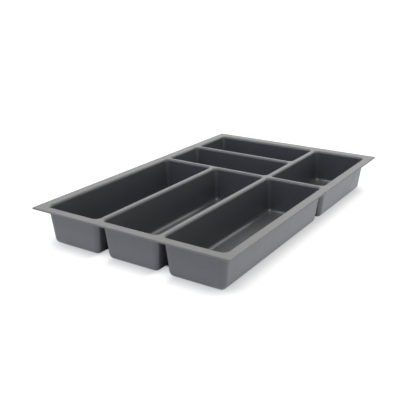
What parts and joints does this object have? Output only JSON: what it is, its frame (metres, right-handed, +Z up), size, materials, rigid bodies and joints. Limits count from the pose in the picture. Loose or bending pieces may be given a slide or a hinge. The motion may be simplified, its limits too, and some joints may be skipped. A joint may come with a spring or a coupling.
{
  "type": "cutlery tray",
  "caption": "Drawer tray formed from one sheet, with a flat flange, long wells in front and cross and short wells behind, each a tapered cup with rounded edges.",
  "frame": {"origin": "on the surface that the tray stands on, under the middle of the flange's outline", "axes": "+X to the right across the tray, +Y from the long wells at the front to the cross wells at the back, +Z up, out of the wells"},
  "size_m": [0.304, 0.4902, 0.0535],
  "materials": {
    "formed_sheet": "satin grey with a fine matt grain"
  },
  "bodies": {
    "root": {"front_left_well": "formed_sheet", "front_middle_well": "formed_sheet", "front_right_well": "formed_sheet", "near_cross_well": "formed_sheet", "far_cross_well": "formed_sheet", "rear_right_well": "formed_sheet", "front_left_divider": "formed_sheet", "front_right_divider": "formed_sheet", "cross_divider": "formed_sheet", "rear_divider": "formed_sheet", "rear_cross_divider": "formed_sheet", "rim_flange": "formed_sheet"}
  },
  "joints": []
}
